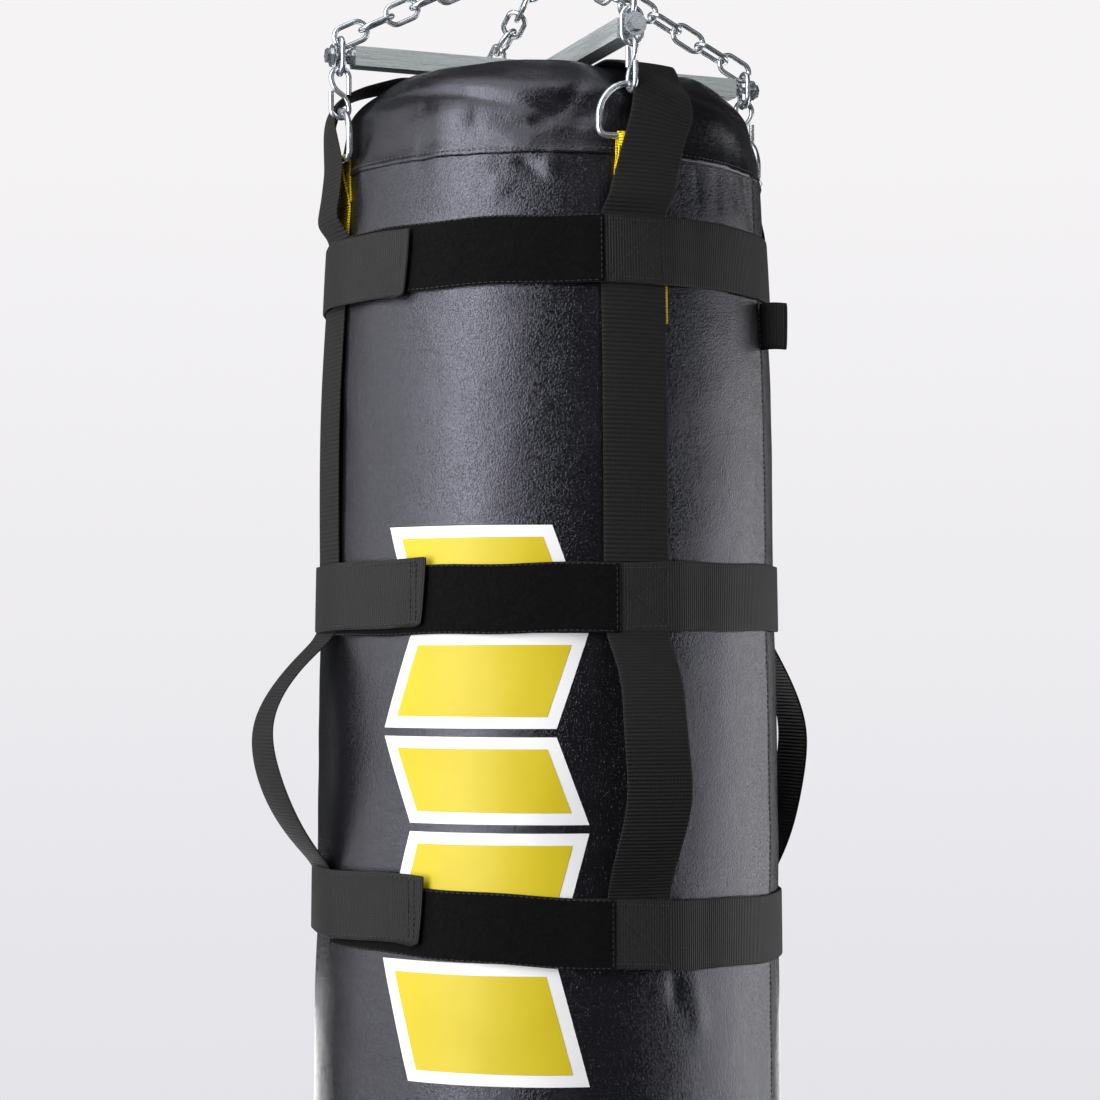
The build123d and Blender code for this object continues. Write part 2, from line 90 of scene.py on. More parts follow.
# The front suspension strap's tail shows beside the harness strap, the left one hides behind it
YELLOW_SHIFTS = {"front": 0.0070, "right": 0.0, "back": 0.0, "left": -0.0015}

CROWN_SHIFT = 0.024
CROWN_RADIUS = 0.120
CROWN_SLANT = 0.014              # how much lower the front strap's right edge bends over
TIGHT = [
    (0.1798, 0.127), (0.1772, 0.108), (0.1765, 0.085), (0.1765, 0.062), (0.1755, 0.046),
    (0.1729, 0.037), (0.1656, 0.0287), (0.1500, 0.0215),
]
SLACK = [
    (0.1818, 0.128), (0.1782, 0.108), (0.1753, 0.085), (0.1744, 0.066), (0.1744, 0.050),
    (0.1732, 0.039), (0.1660, 0.0305), (0.1500, 0.0220),
]
# The crown straps' ends above the upper ring strap: radius and distance below the spreader, then
# where the strap starts and stops leaning sideways, and how far it stands off the bag lower down
CROWN_ENDS = {
    "front": (TIGHT, 0.1385, 0.055, 0.0004),
    "right": (TIGHT, 0.1385, 0.055, 0.0010),
    "back": (TIGHT, 0.1385, 0.055, 0.0010),
    "left": (SLACK, 0.090, 0.050, 0.0016),
}
FLAP_ENDS = {"upper": -56.5, "middle": -50.5, "lower": -50.3}
PAD_ENDS = {"upper": -7.8, "middle": -4.7, "lower": -6.0}
PAD_START = -81.5
RING_START, RING_END = -79.0, 257.0
FLAP_START = -104.0
FLAP_FOLD = (-96.0, -84.0)       # azimuths near the flap's bend, made into points in make_flap that nothing uses
# How far each flap sits above its ring strap at its root and at its free end
FLAP_RISE = {"upper": (-0.002, -0.004), "middle": (0.004, 0.0055), "lower": (0.005, 0.009)}
FLAP_CURL = 0.0016               # how far its free end stands off
FLAP_LEVEL = -88.0               # the rise starts to change here
# How far each ring strap slants up towards the high side, a quarter turn past the level azimuth
RING_TILT = {"upper": 0.0030, "middle": 0.0025, "lower": -0.0085}
LEVEL_AZIMUTH = -21.0

HANDLE_WIDTH = 0.048
HANDLE_BULGES = {"front": 0.040, "right": 0.032, "back": 0.045, "left": 0.0495}
HANDLE_TWISTS = {"front": 7.0, "right": -5.0, "back": 8.0, "left": -9.0}
HANDLE_PEAK = 0.43               # where a handle stands out most, as a share of its height
HANDLE_ROUNDNESS = 1.9           # 2 would be a parabola
SEAM_AZIMUTH = 49.0

# The cap from the middle of its top to its seam: radius, and height over the seam
CAP_PROFILE = [
    (0.0, 0.0742), (0.060, 0.0745), (0.100, 0.0742), (0.118, 0.0722), (0.138, 0.0640),
    (0.149, 0.0560), (0.1555, 0.0470), (0.1592, 0.0290), (0.1630, 0.0090), (0.1655, 0.0),
]
CAP_HEM = [(0.1662, -0.0015), (0.1666, -0.0032)]

# Folds: a path of (azimuth, height over the seam), how deep it goes in, and half its width.
# A negative depth is a bulge.
CAP_FOLDS = [
    ([(-78, 0.050), (-62, 0.0505), (-47, 0.047), (-30, 0.036), (-20, 0.029)], 0.0030, 0.0042),
    ([(-74, 0.064), (-50, 0.062), (-30, 0.052)], -0.0026, 0.0120),
    ([(-35, 0.024), (-26, 0.018), (-19, 0.027), (-14, 0.044), (-10, 0.062)], 0.0018, 0.0060),
    ([(-14, 0.018), (-12, 0.044)], 0.0050, 0.0280),
    ([(-56, 0.030), (-40, 0.028)], -0.0044, 0.0150),
    ([(22, 0.054), (38, 0.050), (58, 0.040)], 0.0030, 0.0050),
    ([(24, 0.036), (44, 0.030)], -0.0030, 0.0140),
    ([(62, 0.052), (70, 0.030), (74, 0.012)], 0.0028, 0.0045),
    ([(-2, 0.058), (6, 0.052)], 0.0026, 0.0060),
    ([(-12, 0.014), (-4, 0.022)], -0.0020, 0.0080),
]
COVER_FOLDS = [
    ([(-29.5, -0.0075), (-26, -0.0120), (-22, -0.021)], 0.0026, 0.0044),
    ([(-36, -0.022), (-31, -0.034)], -0.0012, 0.0100),
    ([(-23, -0.009), (-18, -0.014)], -0.0014, 0.0060),
    ([(20, -0.006), (21.5, -0.034)], 0.0015, 0.0036),
    ([(27, -0.004), (29, -0.040)], 0.0012, 0.0040),
    ([(35, -0.006), (37.5, -0.032)], 0.0013, 0.0036),
    ([(43, -0.004), (45, -0.044)], 0.0012, 0.0042),
    ([(9, -0.592), (10, -0.616)], 0.0018, 0.0048),
    ([(14, -0.590), (17, -0.640)], -0.0016, 0.0080),
]
FOLDS_BEHIND = 11                # more folds of the same kind round the back, placed by chance


# ------------ shapes
def turned_outline(node):
    """Heights, from the lowest up, and the outer radius at each, of a node turned about Z."""
    radii = {}
    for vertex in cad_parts[node].data.vertices:
        height = round(vertex.co.z, 4)
        radii[height] = max(radii.get(height, 0.0), math.hypot(vertex.co.x, vertex.co.y))
    heights = sorted(radii)
    return heights, [radii[z] for z in heights]


def blurred(values, passes):
    """Smooth values along their first axis, ends kept."""
    values = np.array(values, float)
    for _ in range(passes):
        values[1:-1] = (values[:-2] + 2 * values[1:-1] + values[2:]) / 4
    return values


COVER_LEVELS = np.arange(BAG_BOTTOM_Z, SEAM_Z + 0.002, 0.004)
COVER_RADII = blurred(np.interp(COVER_LEVELS, *turned_outline("cover_shell")), 60)


def cover_radius(z):
    """Radius of the smooth cover at a height."""
    return np.interp(z, COVER_LEVELS, COVER_RADII)


def round_point(azimuth, radius, z):
    """Points at azimuths, radii and heights."""
    angle = np.radians(azimuth)
    angle, radius, z = np.broadcast_arrays(angle, radius, z)
    return np.stack([radius * np.sin(angle), -radius * np.cos(angle), z], axis=-1)


def turned(points, degrees):
    """Points turned about Z."""
    c, s = math.cos(math.radians(degrees)), math.sin(math.radians(degrees))
    return points @ np.array([[c, s, 0], [-s, c, 0], [0, 0, 1]])


def distances(points):
    """How far along a polyline each of its points is."""
    return np.concatenate([[0], np.cumsum(np.linalg.norm(np.diff(points, axis=0), axis=1))])


def smooth_path(points, step=0.003, passes=8):
    """A polyline resampled evenly, with its corners rounded."""
    points = np.array(points, float)
    lengths = distances(points)
    even = np.linspace(0, lengths[-1], max(int(lengths[-1] / step), 8))
    path = np.stack([np.interp(even, lengths, points[:, k]) for k in range(points.shape[1])], 1)
    return blurred(path, passes)


def ease(x, low, high):
    """0 below low, 1 above high, and a smooth step between."""
    t = np.clip((x - low) / (high - low), 0, 1)
    return t * t * (3 - 2 * t)


def fold_depth(azimuth, height, folds):
    """Depth of all the folds at points of the bag's skin."""
    total = np.zeros(np.broadcast(azimuth, height).shape)
    to_metres = math.radians(1) * 0.165
    for path, depth, width in folds:
        nearest = np.full(total.shape, 9.0)
        share = np.zeros(total.shape)
        for i, ((a0, h0), (a1, h1)) in enumerate(zip(path, path[1:])):
            dx, dy = (a1 - a0) * to_metres, h1 - h0
            turn = (azimuth - a0 + 180) % 360 - 180
            px, py = turn * to_metres, height - h0
            t = np.clip((px * dx + py * dy) / (dx * dx + dy * dy), 0, 1)
            distance = np.hypot(px - t * dx, py - t * dy)
            closer = distance < nearest
            nearest = np.where(closer, distance, nearest)
            share = np.where(closer, (i + t) / (len(path) - 1), share)
        fade = np.minimum(1, 0.25 + 3.2 * share * (1 - share))
        total += depth * fade * np.exp(-((nearest / width) ** 2))
    return total


def ripple(points, size, seed):
    """Smooth noise from -1 to 1 at points, with bumps of about that size."""
    shift = Vector((seed * 7.3, seed * 3.1, seed * 5.7))
    flat = points.reshape(-1, 3) / size
    return np.array([noise.noise(Vector(p) + shift) for p in flat]).reshape(points.shape[:-1])


def normals_of(grid):
    """Unit normals of a grid of points."""
    normal = np.cross(np.gradient(grid, axis=0), np.gradient(grid, axis=1))
    return normal / np.maximum(np.linalg.norm(normal, axis=-1, keepdims=True), 1e-12)


def grid_faces(rows, columns, wrap=False, start=0):
    """Quads of a grid of vertices counted row by row. wrap joins the last column to the first."""
    i = np.arange(rows - 1)[:, None]
    j = np.arange(columns if wrap else columns - 1)[None, :]
    k = (j + 1) % columns
    quads = [i * columns + j, i * columns + k, (i + 1) * columns + k, (i + 1) * columns + j]
    return (np.stack(quads, axis=-1).reshape(-1, 4) + start).tolist()


def make_piece(name, points, faces, finish, uvs=None):
    """One mesh object with its finish, and texture coordinates in metres."""
    mesh = bpy.data.meshes.new(name)
    mesh.from_pydata(np.asarray(points).reshape(-1, 3).tolist(), [], faces)
    work = bmesh.new()
    work.from_mesh(mesh)
    bmesh.ops.recalc_face_normals(work, faces=work.faces)
    work.to_mesh(mesh)
    work.free()
    if uvs is not None:
        corners = np.empty(len(mesh.loops), np.int64)
        mesh.loops.foreach_get("vertex_index", corners)
        layer = mesh.uv_layers.new(name="UVMap")
        layer.data.foreach_set("uv", np.asarray(uvs, np.float32).reshape(-1, 2)[corners].ravel())
    mesh.polygons.foreach_set("use_smooth", np.ones(len(mesh.polygons), bool))
    mesh.materials.append(finish)
    piece = bpy.data.objects.new(name, mesh)
    bpy.context.collection.objects.link(piece)
    return piece


def stations(width, count=9):
    """Places across a strap, closer together at its selvedges."""
    half = width / 2
    middle = np.linspace(-half + 0.004, half - 0.004, count)
    return np.concatenate([[-half, -half + 0.0006, -half + 0.002], middle,
                           [half - 0.002, half - 0.0006, half]])


def sheet_geometry(grid, thick, start=0):
    """Vertices, faces and texture coordinates of a closed sheet about a grid of middle points."""
    rows, columns = grid.shape[:2]
    edge = np.ones(columns)
    edge[[0, -1]] = 0.3
    edge[[1, -2]] = 0.85
    offset = normals_of(grid) * (edge * thick / 2)[None, :, None]
    ring = np.concatenate([grid + offset, (grid - offset)[:, ::-1]], axis=1)
    faces = grid_faces(rows, 2 * columns, wrap=True, start=start)
    for row in (0, rows - 1):
        base = start + row * 2 * columns
        faces += [
            [base + j, base + j + 1, base + 2 * columns - 2 - j, base + 2 * columns - 1 - j]
            for j in range(columns - 1)
        ]
    along = distances(grid[:, columns // 2])
    across = distances(grid[rows // 2])
    across = np.concatenate([across, across[::-1]])
    uvs = np.stack(np.broadcast_arrays(across[None, :], along[:, None]), axis=-1)
    return ring.reshape(-1, 3), faces, uvs.reshape(-1, 2)


def make_sheets(name, grids, thick, finish):
    """One object of several closed sheets."""
    points, faces, uvs = [], [], []
    start = 0
    for grid in grids:
        p, f, t = sheet_geometry(grid, thick, start)
        points.append(p)
        faces += f
        uvs.append(t)
        start += len(p)
    return make_piece(name, np.concatenate(points), faces, finish, np.concatenate(uvs))


# ------------ materials
GRAIN_SCALE = 700.0              # of the leather's grain, per metre
THREAD_PITCH = 0.0011            # of the lengthwise threads in webbing


def add_node(tree, kind, inputs, output=0, **settings):
    """Add a shader node, feed it numbers, colours or other nodes' outputs, and return an output."""
    node = tree.nodes.new("ShaderNode" + kind)
    for key, value in settings.items():
        setattr(node, key, value)
    for key, value in inputs.items():
        if isinstance(value, bpy.types.NodeSocket):
            tree.links.new(value, node.inputs[key])
        else:
            node.inputs[key].default_value = value
    return node.outputs[output]


class Finish:
    """A node material, with a short way to add nodes to it."""

    def __init__(self, name, roughness, metallic=0.0, sheen=0.0, specular=0.5):
        self.material = bpy.data.materials.new(name)
        self.material.use_nodes = True
        self.tree = self.material.node_tree
        self.shader = self.tree.nodes["Principled BSDF"]
        self.set("Roughness", roughness)
        self.set("Metallic", metallic)
        self.set("Sheen Weight", sheen)
        self.set("Specular IOR Level", specular)

    def set(self, socket, value):
        """Give a shader socket a number, a colour or another node's output."""
        if isinstance(value, bpy.types.NodeSocket):
            self.tree.links.new(value, self.shader.inputs[socket])
        else:
            self.shader.inputs[socket].default_value = value

    def add(self, kind, inputs, output=0, **settings):
        return add_node(self.tree, kind, inputs, output, **settings)

    def math(self, operation, first, second=0.0):
        return self.add("Math", {0: first, 1: second}, operation=operation)

    def mix(self, first, first_share, second, second_share=1.0):
        """Add two outputs, each times its share."""
        first = self.math("MULTIPLY", first, first_share)
        return self.math("ADD", first, self.math("MULTIPLY", second, second_share))

    def place(self, kind="Object"):
        """Texture coordinates: the object's own metres, or UV metres on webbing."""
        return self.add("TexCoord", {}, kind)

    def noise(self, vector, scale, detail=3.0, roughness=0.5):
        return self.add("TexNoise", {"Vector": vector, "Scale": scale, "Detail": detail,
                                     "Roughness": roughness})

    def between(self, factor, low, high, start=0.0, end=1.0):
        """Map a factor from start..end to low..high."""
        return self.add("MapRange", {"Value": factor, "From Min": start, "From Max": end,
                                     "To Min": low, "To Max": high})

    def creases(self, vector, scale, width):
        """0 on the winding lines where a noise crosses its middle value, 1 away from them."""
        from_middle = self.math("SUBTRACT", self.noise(vector, scale, 2.0, 0.55), 0.5)
        return self.between(self.math("ABSOLUTE", from_middle), 0.0, 1.0, 0.0, width)

    def blend(self, factor, first, second):
        """Mix two colours."""
        node = self.tree.nodes.new("ShaderNodeMix")
        node.data_type = "RGBA"
        colours = [socket for socket in node.inputs if socket.type == "RGBA"]
        self.tree.links.new(factor, node.inputs[0])
        for socket, value in zip(colours, (first, second)):
            if isinstance(value, bpy.types.NodeSocket):
                self.tree.links.new(value, socket)
            else:
                socket.default_value = (*value, 1.0)
        return next(socket for socket in node.outputs if socket.type == "RGBA")

    def colour(self, factor, low, high, first, second):
        """Base colour, from the first to the second as a factor goes from low to high."""
        share = self.between(factor, 0, 1, low, high)
        self.set("Base Color", self.blend(share, first, second))

    def bump(self, height, distance, strength=1.0, under=None):
        """A bump, on top of another one if it is given."""
        inputs = {"Height": height, "Distance": distance, "Strength": strength}
        if under is not None:
            inputs["Normal"] = under
        return self.add("Bump", inputs)


def shaded(colour, share):
    """A colour made darker or lighter."""
    return tuple(c * share for c in colour)


def leather(name, dark, light, rough_low, rough_high, grain=1.0):
    """Leather cloth: grain, fine cracks, long creases, and slow changes of shade and gloss."""
    finish = Finish(name, 0.4, specular=0.66)
    finish.set("Specular Tint", (0.84, 0.84, 1.0, 1.0))
    place = finish.place()
    slow = finish.noise(place, 9.0, 4.0, 0.6)
    fine = finish.noise(place, 260.0, 3.0, 0.6)
    finish.colour(slow, 0.35, 0.68, dark, light)
    patch = finish.mix(slow, 0.55, fine, 0.45)
    finish.set("Roughness", finish.between(patch, rough_low, rough_high, 0.35, 0.65))
    upright = finish.add("VectorMath", {0: place, 1: (1.0, 1.0, 0.5)}, operation="MULTIPLY")
    soft = finish.bump(finish.noise(place, 30.0, 3.0, 0.5), 0.0014, 0.40)
    creased = finish.bump(finish.creases(upright, 70.0, 0.016), 0.00008, 0.55 * grain, soft)
    cracked = finish.bump(finish.creases(place, 420.0, 0.10), 0.00014, 0.8 * grain, creased)
    bumps = finish.noise(place, GRAIN_SCALE, 2.0, 0.6)
    finish.set("Normal", finish.bump(bumps, 0.00037, 0.9 * grain, cracked))
    return finish.material


def webbing(name, colour, pitch, depth, roughness=0.66, sheen=0.03, specular=0.22):
    """Woven webbing: ribs across it at a pitch, a finer weave on them, and painted shade between
    the ribs.
    """
    finish = Finish(name, roughness, sheen=sheen, specular=specular)
    finish.set("Sheen Roughness", 0.45)
    across, along = finish.add("SeparateXYZ", {0: finish.place("UV")}, slice(0, 2))
    wobble = finish.noise(finish.place(), 34.0, 2.0)
    drift = finish.math("MULTIPLY", wobble, pitch * 0.15)
    turns = finish.math("MULTIPLY", finish.math("ADD", along, drift), 2 * math.pi / pitch)
    rib = finish.between(finish.math("SINE", turns), 0.0, 1.0, -1.0, 1.0)
    thread = finish.math("SINE", finish.math("MULTIPLY", across, 2 * math.pi / THREAD_PITCH))
    speck = finish.noise(finish.place(), 900.0, 2.0)
    # painted shade and light: the colour is darker in the rib troughs and lighter on the crests,
    # plus random specks of tone
    shade = finish.mix(rib, 0.6, speck, 0.5)
    finish.colour(shade, 0.1, 1.0, shaded(colour, 0.35), shaded(colour, 1.75))
    weave = finish.math("ADD", rib, finish.mix(thread, 0.16, speck, 0.35))
    finish.set("Normal", finish.bump(weave, depth, 0.9))
    return finish.material


def pile(name, colour):
    """Fuzzy loops of a touch-and-close tape."""
    finish = Finish(name, 0.95, sheen=0.02, specular=0.08)
    finish.set("Sheen Roughness", 0.6)
    place = finish.place()
    fuzz = finish.noise(place, 1100.0, 4.0, 0.7)
    tufts = finish.noise(place, 420.0, 3.0, 0.6)
    mixed = finish.mix(fuzz, 0.6, tufts, 0.4)
    finish.colour(mixed, 0.38, 0.66, shaded(colour, 0.3), shaded(colour, 2.1))
    finish.set("Normal", finish.bump(mixed, 0.0010, 1.0))
    return finish.material


def metal(name, colour, rough_low, rough_high, streak=(1.0, 1.0, 1.0), scale=160.0, metallic=0.75):
    """Plated steel with faint patches, and streaks if the coordinates are stretched."""
    finish = Finish(name, 0.3, metallic=metallic)
    stretched = finish.add("Mapping", {"Vector": finish.place(), "Scale": streak})
    patch = finish.noise(stretched, scale, 4.0, 0.6)
    fine = finish.noise(stretched, scale * 6, 2.0, 0.5)
    finish.colour(patch, 0.35, 0.65, shaded(colour, 0.78), colour)
    finish.set("Roughness", finish.between(patch, rough_low, rough_high, 0.35, 0.65))
    soft = finish.bump(patch, 0.0004, 0.25)
    finish.set("Normal", finish.bump(fine, 0.00008, 0.5, soft))
    return finish.material


def plain(name, colour, roughness, scale, depth, sheen=0.0):
    """A matt finish with speckled shade and bump, for thread and hook tape."""
    finish = Finish(name, roughness, sheen=sheen, specular=0.3)
    speck = finish.noise(finish.place(), scale, 4.0, 0.6)
    finish.colour(speck, 0.35, 0.65, shaded(colour, 0.6), colour)
    finish.set("Normal", finish.bump(speck, depth, 0.8))
    return finish.material


def print_ink(name, colour, worn):
    """Ink printed on the leather: it keeps the grain, and is a little rubbed in places."""
    finish = Finish(name, 0.42, specular=0.3)
    place = finish.place()
    slow = finish.noise(place, 14.0, 4.0, 0.6)
    finish.colour(slow, 0.3, 0.75, colour, worn)
    bumps = finish.noise(place, GRAIN_SCALE, 2.0, 0.6)
    finish.set("Roughness", finish.between(bumps, 0.50, 0.40))
    finish.set("Normal", finish.bump(bumps, 0.00012, 0.6))
    return finish.material


BLACK_LEATHER = leather(
    "black_leather", (0.0040, 0.0040, 0.0050), (0.0070, 0.0070, 0.0085), 0.16, 0.24)
CAP_LEATHER = leather(
    "cap_leather", (0.0042, 0.0040, 0.0048), (0.0078, 0.0074, 0.0086), 0.17, 0.26, grain=0.8)
STRAP_WEBBING = webbing("strap_webbing", (0.0068, 0.0062, 0.0066), 0.0033, 0.00060)
RING_WEBBING = webbing(
    "ring_webbing", (0.0078, 0.0069, 0.0073), 0.0021, 0.00042, roughness=0.55, specular=0.24)
HANDLE_WEBBING = webbing("handle_webbing", (0.0072, 0.0065, 0.0068), 0.0028, 0.00052)
YELLOW_WEBBING = webbing(
    "yellow_webbing", (0.76, 0.56, 0.004), 0.0020, 0.00045, roughness=0.7, sheen=0.0)
LOOP_PILE = pile("loop_pile", (0.0020, 0.0019, 0.0023))
HOOK_TAPE = plain("hook_tape", (0.018, 0.018, 0.020), 0.6, 1400.0, 0.0009)
THREAD = plain("black_thread", (0.011, 0.0105, 0.0105), 0.6, 2400.0, 0.0002, 0.1)
YELLOW_INK = print_ink("yellow_ink", (0.55, 0.440, 0.018), (0.50, 0.390, 0.009))
SEAM_THREAD = plain("seam_thread", (0.050, 0.048, 0.052), 0.42, 2400.0, 0.0002, 0.1)
WHITE_INK = print_ink("white_ink", (0.76, 0.76, 0.77), (0.70, 0.70, 0.71))
ZINC = metal("zinc_steel", (0.60, 0.64, 0.68), 0.18, 0.32, metallic=0.88)
SATIN_ZINC = metal("satin_zinc", (0.70, 0.72, 0.73), 0.30, 0.44)
TUBE_X = metal("tube_along_x", (0.66, 0.71, 0.715), 0.22, 0.34, (0.06, 1.0, 1.0), 220.0, 0.90)
TUBE_Y = metal("tube_along_y", (0.66, 0.71, 0.715), 0.22, 0.34, (1.0, 0.06, 1.0), 220.0, 0.62)
PLUG_STEEL = metal("plug_steel", (0.45, 0.47, 0.48), 0.35, 0.5)
BEARING_STEEL = metal("bearing_steel", (0.75, 0.75, 0.76), 0.10, 0.2)


# ------------ the leather bag
def skin_ripple(azimuth, z):
    """Slow unevenness of the filled leather, and its narrowing under the ring straps."""
    points = round_point(azimuth, 0.17, z)
    uneven = 0.0010 * ripple(points, 0.11, 1) + 0.00035 * ripple(points, 0.030, 2)
    for low, high in RINGS.values():
        uneven = uneven - 0.0010 * np.exp(-(((z - (low + high) / 2) / 0.030) ** 2))
    return uneven


def seam_gather(azimuth, height):
    """Small upright puckers where the cap and the cover are sewn together."""
    points = round_point(azimuth, 0.17, 0.0)
    strength = 0.0011 * np.exp(-np.abs(height) / 0.014)
    return strength * (ripple(points, 0.011, 3) + 0.7 * ripple(points, 0.024, 4))


def folds_behind(low, high):
    """More folds, out of the main view, between two heights over the seam."""
    chance = np.random.default_rng(7)
    folds = []
    for i in range(FOLDS_BEHIND):
        azimuth = 84 + i * 172 / FOLDS_BEHIND + chance.uniform(-4, 4)
        height = chance.uniform(low, high)
        slant = chance.uniform(-0.014, 0.014)
        length = chance.uniform(8, 20)
        sign = 1 if i % 3 else -1
        path = [(azimuth, height), (azimuth + length / 2, height + slant / 3),
                (azimuth + length, height + slant)]
        folds.append((path, sign * chance.uniform(0.002, 0.004), chance.uniform(0.004, 0.009)))
    return folds


ALL_COVER_FOLDS = COVER_FOLDS + folds_behind(-0.036, -0.008)
ALL_CAP_FOLDS = CAP_FOLDS + folds_behind(0.018, 0.058)


def skin_radius(azimuth, z):
    """Radius of the finished cover, with its ripples, folds and the lap of its upright seam."""
    height = z - SEAM_Z
    radius = cover_radius(z) + skin_ripple(azimuth, z)
    radius = radius + seam_gather(azimuth, height) - fold_depth(azimuth, height, ALL_COVER_FOLDS)
    past_seam = (azimuth - SEAM_AZIMUTH + 180) % 360 - 180
    lap = 0.0009 * ease(past_seam, -6.0, -2.5) * (1 - ease(past_seam, -0.4, 0.2))
    return radius + lap


def make_cover():
    """The cover from its bottom edge to the seam, tucked in at both."""
    azimuths = np.arange(0, 360, 1.0)
    levels = np.concatenate([
        BAG_BOTTOM_Z + np.array([0.0008, 0.0015, 0.0030, 0.0055, 0.0085]),
        np.arange(BAG_BOTTOM_Z + 0.012, SEAM_Z - 0.050, 0.004),
        np.arange(SEAM_Z - 0.050, SEAM_Z - 0.001, 0.0025),
        [SEAM_Z, SEAM_Z + 0.0015],
    ])
    radius = skin_radius(azimuths[None, :], levels[:, None])
    edge = np.clip((BAG_BOTTOM_Z + 0.009 - levels) / 0.009, 0, 1)
    radius = radius - (0.0060 * edge ** 2.2)[:, None]
    radius[-1] -= 0.0022
    radius[-2] -= 0.0006
    points = round_point(azimuths[None, :], radius, levels[:, None])
    arc = np.radians(azimuths)[None, :] * 0.175
    uvs = np.stack(np.broadcast_arrays(arc, levels[:, None]), axis=-1)
    faces = grid_faces(len(levels), len(azimuths), wrap=True)
    cover = make_piece("bag_cover", points, faces, BLACK_LEATHER, uvs)
    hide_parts("cover_shell", "foam_liner", "fill_core")
    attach(cover, "bag")


def cap_grid():
    """Points of the cap, row by row from its middle to its hem, with its folds pressed in."""
    path = smooth_path(CAP_PROFILE + CAP_HEM, 0.0028, 6)
    azimuths = np.arange(0, 360, 1.25)[None, :]
    slope = np.gradient(path, axis=0)
    slope /= np.linalg.norm(slope, axis=1, keepdims=True)
    outward = np.stack([-slope[:, 1], slope[:, 0]], axis=1)
    over_seam = distances(path[::-1])[::-1, None] + CAP_HEM[-1][1]
    radius, height = path[:, 0][:, None], path[:, 1][:, None]
    flat = round_point(azimuths, radius, height)
    depth = fold_depth(azimuths, over_seam, ALL_CAP_FOLDS) - seam_gather(azimuths, over_seam)
    on_side = ease(radius, 0.05, 0.12)
    uneven = 0.0011 * ripple(flat, 0.045, 5) + 0.0005 * ripple(flat, 0.018, 6)
    # the top stands up a little between the crown straps
    beside = np.minimum(np.abs(flat[..., 0] - CROWN_SHIFT), np.abs(flat[..., 1] - CROWN_SHIFT))
    puff = 0.0036 * ease(beside, 0.024, 0.060) * (1 - ease(radius, 0.125, 0.150))
    lift = -depth * on_side + uneven * on_side + puff
    lift *= np.clip(over_seam / 0.004 + 0.8, 0.15, 1)
    radius = radius + lift * outward[:, 0][:, None]
    height = height + lift * outward[:, 1][:, None]
    return round_point(azimuths, np.maximum(radius, 0), SEAM_Z + height)


def make_cap():
    """The puffy lid, with its folds and its hem over the cover's edge."""
    grid = cap_grid()
    rows, columns = grid.shape[:2]
    grid[0] = grid[0].mean(axis=0)
    tucked = grid[-1] * np.array([0.985, 0.985, 1.0]) + np.array([0, 0, 0.0008])
    points = np.concatenate([grid.reshape(-1, 3), tucked])
    faces = grid_faces(rows + 1, columns, wrap=True)
    cap = make_piece("puffy_cap", points, faces, CAP_LEATHER, points[:, :2])
    work = bmesh.new()
    work.from_mesh(cap.data)
    bmesh.ops.remove_doubles(work, verts=work.verts, dist=1e-6)
    work.to_mesh(cap.data)
    work.free()
    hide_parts("top_cap", "cap_stuffing")
    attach(cap, "bag")


def make_bottom():
    """The bottom panel, sagging a little under the filling, and the piping round its edge."""
    rim = cover_radius(BAG_BOTTOM_Z) - 0.0045
    radii = np.concatenate([np.linspace(0, rim - 0.012, 34), np.linspace(rim - 0.009, rim, 6)])
    azimuths = np.arange(0, 360, 2.0)
    flat = round_point(azimuths[None, :], radii[:, None], 0.0)
    sag = 0.0055 * (1 - (radii / rim) ** 2)[:, None]
    sag = sag + (0.0006 * ripple(flat, 0.05, 8)) * (1 - (radii / rim) ** 6)[:, None]
    points = round_point(azimuths[None, :], radii[:, None], BAG_BOTTOM_Z + 0.0010 - sag)
    points[0] = points[0].mean(axis=0)
    panel = make_piece("bag_bottom", points, grid_faces(len(radii), len(azimuths), wrap=True),
                       BLACK_LEATHER, flat[..., :2])
    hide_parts("bottom_panel")
    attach(panel, "bag")

    turns = np.radians(np.arange(0, 360, 30.0))
    azimuths = np.arange(0, 360, 1.5)
    bead = 0.0023
    rope = round_point(azimuths[:, None], rim + 0.0006 + bead * np.cos(turns)[None, :],
                       BAG_BOTTOM_Z + 0.0012 + bead * np.sin(turns)[None, :])
    faces = grid_faces(len(azimuths) + 1, len(turns), wrap=True)
    rope = np.concatenate([rope, rope[:1]])
    piping = make_piece("bottom_piping", rope, faces, BLACK_LEATHER, rope[..., :2])
    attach(piping, "bag")


# ------------ printed pattern
# Slanted blocks, one under another: upper and lower edge below the spreader, then the left and
# the right azimuth at the top and at the bottom
PRINT_BLOCKS = [
    (-0.363, -0.434, -62.0, -20.0, -55.0, -11.5),
    (-0.440, -0.508, -55.0, -11.5, -63.0, -19.0),
    (-0.514, -0.576, -63.0, -19.0, -55.0, -11.5),
    (-0.582, -0.668, -55.0, -11.5, -63.0, -19.0),
    (-0.674, -0.760, -63.0, -19.0, -55.0, -11.5),
]
PRINT_BORDER = 0.0085
PRINT_RADIUS = 0.176             # of the cover under the print
SLANT_STRETCH = 1.12             # a slanted side is inset more, to keep the border's width


def print_patch(block, inset, lift):
    """Grid of points of a slanted block on the cover, drawn in by an inset."""
    top, low, top_left, top_right, low_left, low_right = block
    side = math.degrees(inset / PRINT_RADIUS) * SLANT_STRETCH
    across = np.linspace(0, 1, 40)[None, :]
    down = np.linspace(inset / (top - low), 1 - inset / (top - low), 24)[:, None]
    left = top_left + (low_left - top_left) * down + side
    right = top_right + (low_right - top_right) * down - side
    azimuth = left + (right - left) * across
    z = SPREADER_Z + top + (low - top) * down + 0 * across
    return round_point(azimuth, skin_radius(azimuth, z) + lift, z)


